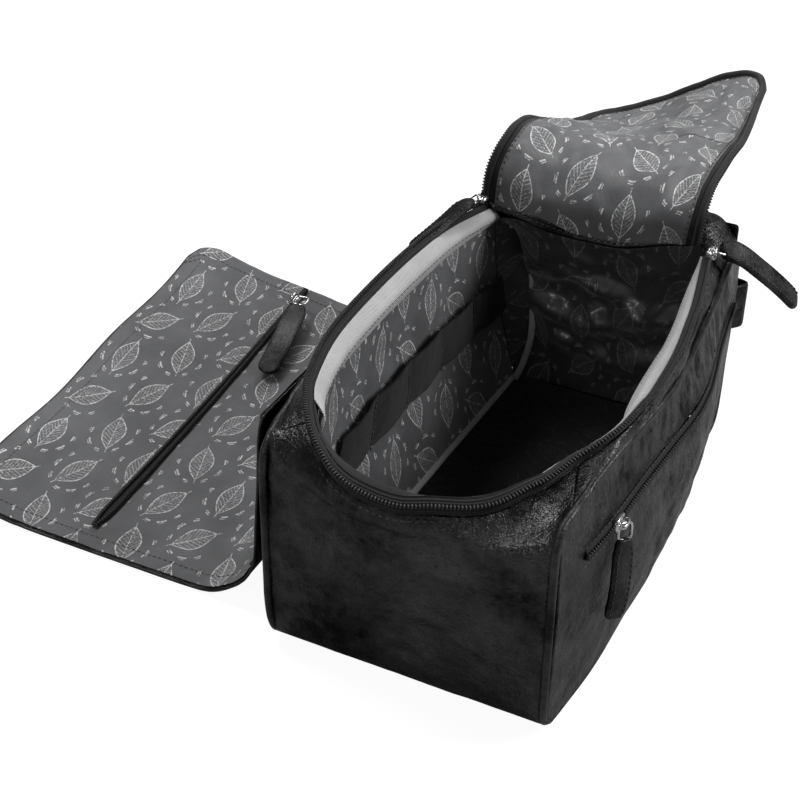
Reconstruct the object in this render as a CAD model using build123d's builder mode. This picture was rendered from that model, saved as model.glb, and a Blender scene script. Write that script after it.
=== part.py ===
from build123d import *
import os
from math import atan2, cos, degrees, hypot, pi, radians, sin, tan

os.makedirs("parts", exist_ok=True)

# Driving dimensions
near_half_width = 70.0
mid_half_width = 77.0
far_half_width = 65.0
half_length = 136.5
leather = 2.2
wall_top = 118.6
piping_radius = 2.2
piping_height = 121.0
lining_top = 108.0
zip_mid = 137.5
row_gap = 0.6
tooth_height = 1.8
tooth_half = 1.1
bead = 0.8
tape_half = 0.35
tooth_pitch = 4.2
pocket_zip_z = 94.0
pocket_zip_x = 76.0
pocket_half_gap = 2.8
flap_near = -122.0
flap_far = 124.0
flap_zip_x = -195.0
flap_zip_z = 4.9
puller_length = 62.0
puller_width = 13.0


# Geometry helpers
def rounded(points, radius, closed=False):
    """A polyline whose inner corners are replaced by short arcs."""
    count = len(points)
    path = [] if closed else [points[0]]
    for i in range(count) if closed else range(1, count - 1):
        (ax, ay), (bx, by), (cx, cy) = points[i - 1], points[i], points[(i + 1) % count]
        into, out = atan2(by - ay, bx - ax), atan2(cy - by, cx - bx)
        turn = (out - into + pi) % (2 * pi) - pi
        reach = abs(radius * tan(turn / 2))
        side = 1 if turn > 0 else -1
        mx, my = bx - reach * cos(into), by - reach * sin(into)
        ox, oy = mx - side * radius * sin(into), my + side * radius * cos(into)
        steps = max(2, round(abs(degrees(turn)) / 12))
        for k in range(steps + 1):
            a = into + turn * k / steps
            path.append((ox + side * radius * sin(a), oy - side * radius * cos(a)))
    return path if closed else path + [points[-1]]


def shifted(path, amount, closed=False):
    """The path moved sideways, to the right of its direction."""
    out, last = [], len(path) - 1
    for i, (x, y) in enumerate(path):
        before = path[i - 1] if i or closed else path[i]
        after = path[(i + 1) % len(path)] if i < last or closed else path[i]
        dx, dy = after[0] - before[0], after[1] - before[1]
        size = hypot(dx, dy)
        out.append((x + amount * dy / size, y - amount * dx / size))
    return out


def band(path, inner, outer):
    return shifted(path, inner) + shifted(path, outer)[::-1]


def flat(points, plane):
    with BuildSketch(plane) as sketch:
        with BuildLine():
            Polyline(*points, close=True)
        make_face()
    return sketch.sketch


def level(z):
    return Plane.XY.offset(z)


def between(path, start, stop):
    """The part of a path, monotonic in y, from y = start to y = stop."""
    def at(y):
        for (ax, ay), (bx, by) in zip(path, path[1:]):
            if min(ay, by) <= y <= max(ay, by):
                return (ax + (bx - ax) * (y - ay) / (by - ay), y)
    inside = [p for p in path if min(start, stop) < p[1] < max(start, stop)]
    return [at(start)] + inside + [at(stop)]


def stations(path, pitch, lead):
    """Points a pitch apart along a path with the direction there."""
    places, travelled, due = [], 0.0, lead
    for (ax, ay), (bx, by) in zip(path, path[1:]):
        length = hypot(bx - ax, by - ay)
        while due <= travelled + length:
            t = (due - travelled) / length
            places.append((ax + (bx - ax) * t, ay + (by - ay) * t, degrees(atan2(by - ay, bx - ax))))
            due += pitch
        travelled += length
    return places


def finish(part, label):
    part.part.label = label
    export_step(part.part, f"parts/{label}.step")


# Plan outlines, all anticlockwise, so that a positive shift is outward
side_right = rounded(
    [
        (near_half_width, -half_length), (mid_half_width, -85),
        (mid_half_width, 35), (far_half_width, half_length),
    ],
    90,
)
side_left = [(-x, y) for x, y in side_right[::-1]]
rim = rounded(
    [(-62, 103), (-73.5, -10), (-70, -98), (-50, -132), (50, -132), (70, -98), (73.5, -10), (61, 103)], 24
)
tub = rounded(
    [(66, -131), (71.5, -85), (71.5, 35), (60, 131), (-60, 131), (-71.5, 35), (-71.5, -85), (-66, -131)],
    9, True,
)
bottom = [(x - 2.7, y * 134.2 / half_length) for x, y in side_right] + [
    (x + 2.7, y * 134.2 / half_length) for x, y in side_left
]

# Bottom
with BuildPart() as base_panel:
    extrude(flat(bottom, level(0)), amount=2.2)
finish(base_panel, "base_panel")

with BuildPart() as base_stiffener:
    extrude(flat(shifted(tub, -1.5, True), level(2.2)), amount=1.4)
finish(base_stiffener, "base_stiffener")

# End walls
with BuildPart() as gusset_near:
    with BuildSketch(Plane((0, -half_length, 0), x_dir=(1, 0, 0), z_dir=(0, -1, 0))):
        with BuildLine():
            Polyline((-67.6, 0), (67.6, 0), (67.6, 112), (52, 118), (-52, 118), (-67.6, 112), close=True)
        make_face()
    extrude(amount=-leather)
finish(gusset_near, "gusset_near")

with BuildPart() as gusset_far:
    with Locations((0, half_length - leather / 2, 65.5)):
        Box(2 * 62.4, leather, 131)
finish(gusset_far, "gusset_far")

with BuildPart() as far_top_panel:
    hood = [(-58, 104), (58, 104), (62, 134), (56, 136.5), (-56, 136.5), (-62, 134)]
    extrude(flat(hood, level(131)), amount=2.2)
finish(far_top_panel, "far_top_panel")

with BuildPart() as hinge_binding:
    with Locations((0, 105.5, 134.6)):
        Box(112, 3, 2.8)
finish(hinge_binding, "hinge_binding")

# Side panels
with BuildPart() as side_panel_left:
    extrude(flat(band(between(side_left, 133.2, -133.2), -leather, 0), level(4.7)), amount=wall_top - 4.7)
finish(side_panel_left, "side_panel_left")

zip_low = pocket_zip_z - pocket_half_gap
zip_high = pocket_zip_z + pocket_half_gap
pocket_near, pocket_far = -120, 117
with BuildPart() as side_panel_right_lower:
    right_wall = band(between(side_right, -133.2, 133.2), -leather, 0)
    extrude(flat(right_wall, level(4.7)), amount=zip_low - 4.7)
    for ends in ((-133.2, pocket_near), (pocket_far, 133.2)):
        end_strip = band(between(side_right, *ends), -leather, 0)
        extrude(flat(end_strip, level(zip_low)), amount=zip_high - zip_low)
finish(side_panel_right_lower, "side_panel_right_lower")

with BuildPart() as side_panel_right_upper:
    extrude(flat(right_wall, level(zip_high)), amount=wall_top - zip_high)
finish(side_panel_right_upper, "side_panel_right_upper")


# Piping around each side panel
def piping_loop(path, label):
    low, high = 2.4, piping_height
    loop = [Vector(x, y, low) for x, y in path] + [Vector(x, y, high) for x, y in path[::-1]]
    with BuildPart() as cord:
        for start, stop in zip(loop, loop[1:] + loop[:1]):
            with Locations(Plane(start, z_dir=stop - start)):
                Cylinder(piping_radius, (stop - start).length, align=(Align.CENTER, Align.CENTER, Align.MIN))
                Sphere(piping_radius)
    finish(cord, label)


piping_loop(between(side_left, 135.6, -135.6), "piping_left")
piping_loop(between(side_right, -135.6, 135.6), "piping_right")

# Rim: facing, tape and the body's row of zip teeth
with BuildPart() as rim_facing:
    extrude(flat(band(rim, -1.55, -tape_half), level(lining_top)), amount=17)
finish(rim_facing, "rim_facing")

body_bead = zip_mid - row_gap - tooth_height - bead
with BuildPart() as main_tape:
    extrude(flat(band(rim, -tape_half, tape_half), level(112)), amount=body_bead - 112)
finish(main_tape, "main_tape")


def teeth(path, plane, half, pitch, height, lead):
    """Teeth standing on a bead: boxes across the path on the given plane."""
    places = [Location((x, y, height / 2), (0, 0, a)) for x, y, a in stations(path, pitch, lead)]
    with Locations(*[plane * place for place in places]):
        Box(1.7, 2 * half, height)


with BuildPart() as main_chain:
    extrude(flat(band(rim, -tooth_half, tooth_half), level(body_bead)), amount=bead)
    teeth(rim, level(body_bead + bead), tooth_half, tooth_pitch, tooth_height, 2)
finish(main_chain, "main_chain")

rim_right_near = between(rim[len(rim) // 2:], -94, -60)
rim_left_near = between(rim[: len(rim) // 2], -60, -94)
shoulder_inner = shifted(rim_left_near + [p for p in rim if p[1] < -94] + rim_right_near, tape_half + 0.05)
shoulder_outer = [(x - 2.5, y) for x, y in between(side_right, -133, -60)]
shoulder_end = [(66.5, -136.4), (-66.5, -136.4)]
shoulder = shoulder_inner + shoulder_outer[::-1] + shoulder_end + [(-x, y) for x, y in shoulder_outer]
with BuildPart() as shoulder_near:
    extrude(flat(shoulder, level(wall_top + 0.1)), amount=1.5)
finish(shoulder_near, "shoulder_near")

# Lining
with BuildPart() as lining_floor:
    extrude(flat(shifted(tub, -0.3, True), level(3.6)), amount=1)
finish(lining_floor, "lining_floor")

with BuildPart() as lining_tub:
    extrude(flat(tub, level(4.6)), amount=lining_top - 4.6)
    extrude(flat(shifted(tub, -1, True), level(4.6)), amount=lining_top - 4.6, mode=Mode.SUBTRACT)
finish(lining_tub, "lining_tub")

with BuildPart() as lining_far_upper:
    with Locations((0, 133.4, 119.5)):
        Box(112, 1, 22.8)
finish(lining_far_upper, "lining_far_upper")

with BuildPart() as binding_far_left:
    with Locations((-50, 128.9, 55)):
        Box(5, 1.8, 98)
finish(binding_far_left, "binding_far_left")

with BuildPart() as binding_floor_left:
    with Locations((-69.3, -25, 6)):
        Box(2, 100, 2.4)
finish(binding_floor_left, "binding_floor_left")


# Elastic bands sewn down between loops
def elastic(side, start, loops, low, height, label):
    span, bulge, path = 38.0, 6.5, []
    for k in range(loops * 8 + 1):
        y = start + span * k / 8
        wall = 70.0 - max(0.0, y - 33) * 0.12
        path.append((side * (wall - bulge * abs(sin(pi * k / 8))), y))
    with BuildPart() as strip:
        extrude(flat(band(path, -0.4, 0.4), level(low)), amount=height)
    finish(strip, label)


elastic(-1, -80, 5, 41, 38, "elastic_band_left")
elastic(1, -80, 3, 66, 34, "elastic_band_right")


# Zipped pocket in the right side panel
pocket_line = [(x - 1.0, y) for x, y in between(side_right, pocket_near + 0.4, pocket_far - 0.4)]
for side, word in ((-1, "lower"), (1, "upper")):
    with BuildPart() as pocket_zip:
        low = min(side * 2.4, side * pocket_half_gap)
        extrude(flat(band(pocket_line, -0.3, 0.3), level(pocket_zip_z + low)), amount=pocket_half_gap - 2.4)
        low = min(side * 1.8, side * 2.4)
        extrude(flat(band(pocket_line, -1, 1), level(pocket_zip_z + low)), amount=0.6)
        low = min(side * 0.5, side * 1.8)
        teeth(pocket_line, level(pocket_zip_z + low), 1, 4.2, 1.3, 2 + (1 + side) * 1.05)
    finish(pocket_zip, f"pocket_zip_{word}")

with BuildPart() as pocket_backing:
    extrude(flat(band(between(side_right, -95, 95), -4.9, -4.3), level(38)), amount=68)
finish(pocket_backing, "pocket_backing")

for ends, word in (((-132, pocket_near + 1), "near"), ((pocket_far - 1, 131), "far")):
    with BuildPart() as pocket_end:
        extrude(flat(band(between(side_right, *ends), 0.0, 1.0), level(pocket_zip_z - 5)), amount=10)
    finish(pocket_end, f"pocket_end_{word}")

# Carry handle on the far end
strap = rounded([(44, 137.9), (62, 137.9), (69, 151), (-69, 151), (-62, 137.9), (-44, 137.9)], 3.5)
with BuildPart() as carry_handle:
    extrude(flat(band(strap, -1.3, 1.3), level(62)), amount=28)
finish(carry_handle, "carry_handle")

for side, word in ((-1, "left"), (1, "right")):
    with BuildPart() as handle_patch:
        with Locations((side * 49, 140, 76)):
            Box(14, 1.4, 34)
    finish(handle_patch, f"handle_patch_{word}")

# Lid: three panels that fold flat when it closes
hinge_at = (103.0, 136.5)
root_length, mid_length, tip_length = 28.0, 76.0, 133.0
root_turn, mid_turn, tip_turn = 73.0, -6.0, -16.0
closed_root, closed_mid, closed_tip = 103.0, 76.0, 0.0


def onward(start, length, turn):
    return (start[0] + length * cos(radians(turn)), start[1] + length * sin(radians(turn)))


def lid_plane(start, turn, height):
    """The panel's plane: x across, y along it, z out of the lined face."""
    a = radians(turn)
    normal = Vector(0, -sin(a), cos(a))
    return Plane(Vector(0, *start) + normal * height, x_dir=(1, 0, 0), z_dir=normal)


first_fold = onward(hinge_at, root_length, root_turn)
second_fold = onward(first_fold, mid_length, mid_turn)
rim_left = between(rim[: len(rim) // 2], 102, -97)
rim_right = between(rim[len(rim) // 2:], -97, 102)
lid_thickness, skin = 1.6, 0.8
skirt = zip_mid + row_gap + tooth_height + bead


def local(path, origin):
    return [(x, origin - y) for x, y in path]


root_outline = [(-56, 3), (56, 3), (56, 18), (61, 26.4), (-61, 26.4), (-56, 18)]
mid_right = local(between(rim_right, 0.8, 74.4), closed_mid)
mid_left = local(between(rim_left, 74.4, 0.8), closed_mid)
mid_outline = shifted(mid_right, -1.0) + shifted(mid_left, -1.0)
tip_path = local(
    between(rim_left, -0.8, -90) + [p for p in rim if p[1] < -90] + between(rim_right, -90, -0.8),
    closed_tip,
)
tip_outline = shifted(tip_path, -1.0)
drop = 144.0 - skirt

for start, turn, outline, word in (
    (hinge_at, root_turn, root_outline, "root"),
    (first_fold, mid_turn, mid_outline, "mid"),
    (second_fold, tip_turn, tip_outline, "tip"),
):
    with BuildPart() as lid_leather:
        extrude(flat(outline, lid_plane(start, turn, -lid_thickness)), amount=lid_thickness)
    finish(lid_leather, f"lid_leather_{word}")
    inner = outline if word == "root" else [(x * 0.965, 0.6 + y * 0.985) for x, y in outline]
    with BuildPart() as lid_lining:
        extrude(flat(inner, lid_plane(start, turn, 0)), amount=skin)
    finish(lid_lining, f"lid_lining_{word}")

for start, turn, path, word in (
    (first_fold, mid_turn, mid_left, "mid_left"),
    (first_fold, mid_turn, mid_right, "mid_right"),
    (second_fold, tip_turn, tip_path, "tip"),
):
    with BuildPart() as lid_zip:
        extrude(flat(band(path, -tape_half, tape_half), lid_plane(start, turn, 0)), amount=drop)
        extrude(flat(band(path, -tooth_half, tooth_half), lid_plane(start, turn, drop)), amount=bead)
        teeth(path, lid_plane(start, turn, drop + bead), tooth_half, tooth_pitch, tooth_height, 2)
    finish(lid_zip, f"lid_zip_{word}")


# Flap: hung from the top left edge, its outer part lying on the floor
def across(points, near=flap_near, far=flap_far):
    extrude(flat(points, Plane((0, far, 0), x_dir=(1, 0, 0), z_dir=(0, -1, 0))), amount=far - near)


flap_leather_thickness, flap_skin = 1.5, 0.8
knee = (-86.5, 30.0)
root_line = rounded([(-81.3, 121), (-83, 60), (-86.3, 31.5)], 90)
outer_line = rounded([(-87.4, 28), (-96, 10), (-127, 2), (-206, 2), (-240, 6), (-268, 19)], 24)

with BuildPart() as flap_leather_root:
    across(band(root_line, 0, -flap_leather_thickness))
finish(flap_leather_root, "flap_leather_root")

with BuildPart() as flap_lining_root:
    across(band(root_line, 0, flap_skin), flap_near + 3, flap_far - 3)
finish(flap_lining_root, "flap_lining_root")



def flap_corners(margin):
    """Keep what lies inside the flap's plan outline, its two free corners rounded."""
    near, far, end = flap_near + margin, flap_far - margin, -268.0 + margin * 0.9
    plan = rounded([(-60, far), (end, far), (end, near), (-60, near)], 16 - margin)
    extrude(flat(plan, level(-2)), amount=60, mode=Mode.INTERSECT)


with BuildPart() as flap_leather_outer:
    across(band(outer_line, 0, -flap_leather_thickness))
    flap_corners(0)
finish(flap_leather_outer, "flap_leather_outer")

with BuildPart() as flap_lining_outer:
    across(band(outer_line, 0, flap_skin), flap_near + 3, flap_far - 3)
    flap_corners(3)
    with Locations((flap_zip_x, 9, 3)):
        Box(17, 226, 4, mode=Mode.SUBTRACT)
finish(flap_lining_outer, "flap_lining_outer")

with BuildPart() as flap_slip_binding:
    with Locations((-150, -15, 3.3)):
        Box(3, 180, 1)
finish(flap_slip_binding, "flap_slip_binding")

# Flap pocket: welts, tapes and two rows of teeth
for side, word in ((-1, "outer"), (1, "inner")):
    with BuildPart() as flap_welt:
        with Locations((flap_zip_x + side * 6, 9, 3.3)):
            Box(4.4, 224, 2.4)
    finish(flap_welt, f"flap_welt_{word}")
    with BuildPart() as flap_zip:
        with Locations((flap_zip_x + side * 4.9, 9, 4.8)):
            Box(3.0, 222, 0.6)
        with Locations((flap_zip_x + side * 3.1, 9, flap_zip_z)):
            Box(0.6, 222, 2)
        with Locations(*[(flap_zip_x + side * 1.9, -100 + 4.2 * k, flap_zip_z) for k in range(52)]):
            Box(1.8, 1.7, 2)
    finish(flap_zip, f"flap_zip_{word}")


# Sliders: two plates on a post around the teeth, with a bail for the puller
def slider(place, gap, width, post, label, lips=False, across=False):
    """Local x runs along the teeth, y across the two rows, z out of the bag."""
    with BuildPart() as body:
        with Locations(place):
            with Locations((0, 0, gap + 0.5), (0, 0, -gap - 0.5)):
                Box(11, 2 * width, 1)
            with Locations((4, 0, 0)):
                Box(2.4, 2 * post, 2 * gap)
            with Locations(Location((0, 0, 0), (0, 0, 90 if across else 0))):
                with Locations((-2.6, 0, gap + 2.3), (2.6, 0, gap + 2.3)):
                    Box(1.0, 2.2, 2.6)
                with Locations((0, 0, gap + 4.1)):
                    Box(6.2, 2.2, 1.0)
            if lips:
                corners = [(0, a * (width - 0.35), b * (gap - 0.4)) for a in (-1, 1) for b in (-1, 1)]
                with Locations(*corners):
                    Box(11, 0.7, 0.8)
    finish(body, label)


def puller(place, label, wide=puller_width, long=puller_length, wire=1.2):
    """Ring and tab. Local x runs down the tab, y across it, the pin is at the origin."""
    with BuildPart() as ring:
        with Locations(place):
            with Locations((3.7, 0, 0)):
                Box(8.6, 9, wire)
                Box(6.2, 6.6, wire, mode=Mode.SUBTRACT)
    finish(ring, f"{label}_ring")
    with BuildPart() as tab:
        with Locations(place):
            with BuildSketch(Plane(place)):
                with Locations(((long + 6.2) / 2, 0)):
                    RectangleRounded(long - 6.2, wide, 5)
            extrude(amount=1.5, both=True)
            with Locations((6, 0, 0)):
                Box(5.4, 9.8, 2.0, mode=Mode.SUBTRACT)
    finish(tab, f"{label}_tab")


def oriented(at, x_dir, z_dir):
    return Plane(at, x_dir=x_dir, z_dir=z_dir).location


def rim_frame(a, b, y):
    """Point on a straight run of the rim at y, with its direction."""
    t = (y - a[1]) / (b[1] - a[1])
    size = hypot(b[0] - a[0], b[1] - a[1])
    return (a[0] + (b[0] - a[0]) * t, y), ((b[0] - a[0]) / size, (b[1] - a[1]) / size)


slider_y = 91.0
right_at, right_way = rim_frame((61, 103), (73.5, -10), slider_y)
left_at, left_way = rim_frame((-62, 103), (-73.5, -10), slider_y)
right_out = (-right_way[1], right_way[0])
left_out = (left_way[1], -left_way[0])
gap, pin_out = 1.45, 2.45 + 1.15

right_place = oriented((*right_at, zip_mid), (*right_way, 0), (*right_out, 0))
left_place = oriented((*left_at, zip_mid), (*left_way, 0), (*left_out, 0))
slider(right_place, gap, 4.2, 0.3, "slider_right", True, True)
slider(left_place, gap, 4.2, 0.3, "slider_left", True)
pocket_at = (pocket_zip_x, -78, pocket_zip_z)
slider(oriented(pocket_at, (0, -1, 0), (1, 0, 0)), gap, 3.6, 0.25, "pocket_slider", across=True)
flap_slider_at = (flap_zip_x, 108, flap_zip_z)
slider(oriented(flap_slider_at, (0, 1, 0), (0, 0, 1)), gap, 3.6, 0.5, "flap_slider")

right_pin = (right_at[0] + right_out[0] * pin_out, right_at[1] + right_out[1] * pin_out, zip_mid)
left_pin = (left_at[0] + left_out[0] * pin_out, left_at[1] + left_out[1] * pin_out, zip_mid)
lean = radians(35)
right_down = (right_out[0] * cos(lean), right_out[1] * cos(lean), -sin(lean))
right_face = (right_out[0] * sin(lean), right_out[1] * sin(lean), cos(lean))
puller(oriented(left_pin, (*left_way, 0), (*left_out, 0)), "puller_left")
puller(oriented(right_pin, right_down, right_face), "puller_right")
puller(oriented((pocket_zip_x + pin_out, -78, pocket_zip_z), (0, 0, -1), (1, 0, 0)), "pocket_puller")
puller(oriented((flap_zip_x, 108, flap_zip_z + pin_out), (0, -1, 0), (0, 0, 1)), "flap_puller")
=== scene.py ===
import bpy
import math
import numpy as np
from mathutils import Matrix, Vector, noise


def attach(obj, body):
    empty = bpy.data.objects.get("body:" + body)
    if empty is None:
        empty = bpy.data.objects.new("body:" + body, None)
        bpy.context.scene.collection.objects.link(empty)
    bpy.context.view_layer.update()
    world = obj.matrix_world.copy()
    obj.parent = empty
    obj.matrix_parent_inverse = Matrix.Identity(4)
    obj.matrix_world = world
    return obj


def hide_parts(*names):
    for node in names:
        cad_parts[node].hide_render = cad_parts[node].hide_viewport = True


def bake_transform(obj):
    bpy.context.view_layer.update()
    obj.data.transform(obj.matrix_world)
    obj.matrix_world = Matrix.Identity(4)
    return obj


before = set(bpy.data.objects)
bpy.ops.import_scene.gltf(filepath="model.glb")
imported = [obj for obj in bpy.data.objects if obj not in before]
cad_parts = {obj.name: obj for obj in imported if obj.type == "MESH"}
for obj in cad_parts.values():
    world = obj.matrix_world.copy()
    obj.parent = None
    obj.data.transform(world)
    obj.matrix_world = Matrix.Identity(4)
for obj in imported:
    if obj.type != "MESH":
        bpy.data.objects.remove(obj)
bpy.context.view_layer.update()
scene = bpy.context.scene


# Camera
def make_camera():
    """The photo's view: angles in degrees, distances in millimetres, focal length in pixels."""
    azimuth, elevation, roll = map(math.radians, (25.88, 34.78, 0.68))
    distance, focal, frame_width, sensor = 852.7, 1669.8, 800, 36
    aim, aim_left, aim_up = Vector((0, 0, 60)), 62.0, 17.05
    flat = math.cos(elevation)
    back = Vector((math.sin(azimuth) * flat, -math.cos(azimuth) * flat, math.sin(elevation)))
    side = Vector((0, 0, 1)).cross(back).normalized()
    up = back.cross(side)
    side, up = math.cos(roll) * side + math.sin(roll) * up, -math.sin(roll) * side + math.cos(roll) * up
    place = (aim - aim_left * side + aim_up * up + back * distance) / 1000
    data = bpy.data.cameras.new("camera")
    data.lens, data.sensor_width = sensor * focal / frame_width, sensor
    data.clip_start, data.clip_end = 0.05, 20
    camera = bpy.data.objects.new("camera", data)
    turn = Matrix((side, up, back)).transposed().to_4x4()
    camera.matrix_world = Matrix.Translation(place) @ turn
    scene.collection.objects.link(camera)
    scene.camera = camera


make_camera()


# Node arithmetic
class Value:
    """A shader value that takes part in arithmetic, one Math node for each step."""
    def __init__(self, tree, socket):
        self.tree, self.socket = tree, socket

    def op(self, kind, *others):
        node = self.tree.nodes.new("ShaderNodeMath")
        node.operation = kind
        for socket, value in zip(node.inputs, (self, *others)):
            if isinstance(value, Value):
                self.tree.links.new(value.socket, socket)
            else:
                socket.default_value = value
        return Value(self.tree, node.outputs[0])

    def __add__(self, other):
        return self.op("ADD", other)

    def __sub__(self, other):
        return self.op("SUBTRACT", other)

    def __mul__(self, other):
        return self.op("MULTIPLY", other)

    def less(self, other):
        return self.op("LESS_THAN", other)

    def more(self, other):
        return self.op("GREATER_THAN", other)

    def abs(self):
        return self.op("ABSOLUTE")

    def fract(self):
        return self.op("FRACT")

    def sin(self):
        return self.op("SINE")

    def cos(self):
        return self.op("COSINE")


class Shader:
    """A material with a Principled shader and the few nodes used here."""
    def __init__(self, name, rough, specular=0.5, metallic=0.0, sheen=0.0):
        self.material = bpy.data.materials.new(name)
        self.material.use_nodes = True
        self.tree = self.material.node_tree
        self.principled = self.tree.nodes["Principled BSDF"]
        for socket, value in (
            ("Roughness", rough), ("Specular IOR Level", specular), ("Metallic", metallic),
            ("Coat Roughness", 0.22), ("Sheen Weight", sheen),
        ):
            self.principled.inputs[socket].default_value = value

    def node(self, kind, **inputs):
        made = self.tree.nodes.new(kind)
        for socket, value in inputs.items():
            made.inputs[socket.replace("_", " ")].default_value = value
        return made

    def link(self, a, b):
        self.tree.links.new(a, b)

    def place(self, stretch=(1, 1, 1), uv=False):
        source = self.node("ShaderNodeTexCoord").outputs["UV" if uv else "Object"]
        mapping = self.node("ShaderNodeMapping")
        mapping.inputs["Scale"].default_value = stretch
        self.link(source, mapping.inputs["Vector"])
        return mapping.outputs["Vector"]

    def noise(self, scale, detail=3.0, rough=0.55):
        made = self.node("ShaderNodeTexNoise", Scale=scale, Detail=detail, Roughness=rough)
        self.link(self.place(), made.inputs["Vector"])
        return Value(self.tree, made.outputs["Fac"])

    def cells(self, scale, feature="F1", stretch=(1, 1, 1)):
        made = self.node("ShaderNodeTexVoronoi", Scale=scale)
        made.feature = feature
        self.link(self.place(stretch), made.inputs["Vector"])
        return Value(self.tree, made.outputs["Distance"])

    def ramp(self, value, stops):
        made = self.node("ShaderNodeValToRGB")
        elements = made.color_ramp.elements
        while len(elements) < len(stops):
            elements.new(0.5)
        for element, (position, colour) in zip(elements, stops):
            element.position = position
            element.color = (*(colour if hasattr(colour, "__len__") else (colour,) * 3), 1)
        self.link(value.socket, made.inputs["Fac"])
        return made.outputs["Color"]

    def colour(self, socket):
        self.link(socket, self.principled.inputs["Base Color"])

    def spread(self, value, low, high, socket, start=0.0, end=1.0):
        made = self.node("ShaderNodeMapRange", From_Min=start, From_Max=end, To_Min=low, To_Max=high)
        self.link(value.socket, made.inputs["Value"])
        self.link(made.outputs["Result"], self.principled.inputs[socket])

    def bumps(self, *layers):
        """Bump nodes in a chain: each layer is a value and its height in metres."""
        last = None
        for value, height in layers:
            bump = self.node("ShaderNodeBump", Strength=1.0, Distance=height)
            self.link(value.socket, bump.inputs["Height"])
            if last:
                self.link(last, bump.inputs["Normal"])
            last = bump.outputs["Normal"]
        self.link(last, self.principled.inputs["Normal"])


# Materials
def leather_material(name, tone=0.0030, low=0.17, high=0.46, crease=0.0034):
    """Grained leather: folds, wrinkles, fine cracks and pores, from large to small."""
    made = Shader(name, 0.32, specular=0.42)
    made.colour(made.ramp(made.noise(22, 6, 0.72), ((0.36, tone * 0.3), (0.68, tone * 3.0))))
    made.spread(made.noise(30, 6, 0.72), low, high, "Roughness", 0.36, 0.64)
    made.spread(made.noise(17, 7, 0.75), 0.06, 0.8, "Specular IOR Level", 0.38, 0.66)
    wrinkle = made.cells(120, "DISTANCE_TO_EDGE", (1, 1.3, 0.7)).op("MINIMUM", 0.06)
    crackle = made.cells(420, "DISTANCE_TO_EDGE", (1, 1.2, 0.8)).op("MINIMUM", 0.12)
    made.bumps(
        (made.noise(48, 6, 0.65), crease), (wrinkle, 0.0008), (crackle * made.noise(30, 2), 0.0010),
        (made.cells(750), 0.00016),
    )
    return made.material


def metal_material(name, tone=0.62, rough=0.24):
    made = Shader(name, rough, metallic=1.0)
    made.colour(made.ramp(made.noise(300, 3), ((0.3, tone * 0.8), (0.7, tone))))
    made.bumps((made.noise(900, 2), 0.00002))
    return made.material


def sheet_place(made):
    """The two distances along a sheet, in metres, from its UV map."""
    split = made.node("ShaderNodeSeparateXYZ")
    made.link(made.place(uv=True), split.inputs["Vector"])
    return (Value(made.tree, split.outputs[k]) for k in "XY")


def weave_value(made, pitch, skew=1.0):
    """Ridges of a weave: a slanted set and a set straight across."""
    u, v = sheet_place(made)
    return ((u + v * skew) * (2 * math.pi / pitch)).sin(), (v * (2 * math.pi / pitch)).sin()


def twill_material(name, tone, pitch=0.0011, rough=0.75, depth=0.00012):
    made = Shader(name, rough, specular=0.25, sheen=0.25)
    diagonal, _ = weave_value(made, pitch)
    made.colour(made.ramp(made.noise(60, 4) + diagonal * 0.06, ((0.25, tone * 0.82), (0.75, tone))))
    made.bumps((diagonal, depth), (made.noise(70, 3), 0.0003))
    return made.material


def ribbed_material(name, tone, pitch=0.0013, rough=0.7, depth=0.00015):
    made = Shader(name, rough, specular=0.3, sheen=0.1)
    _, rib = weave_value(made, pitch)
    made.colour(made.ramp(rib * 0.25 + 0.5, ((0.2, tone * 0.7), (0.8, tone * 1.4))))
    made.bumps((rib, depth), (made.noise(50, 3), 0.0003))
    return made.material


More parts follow.
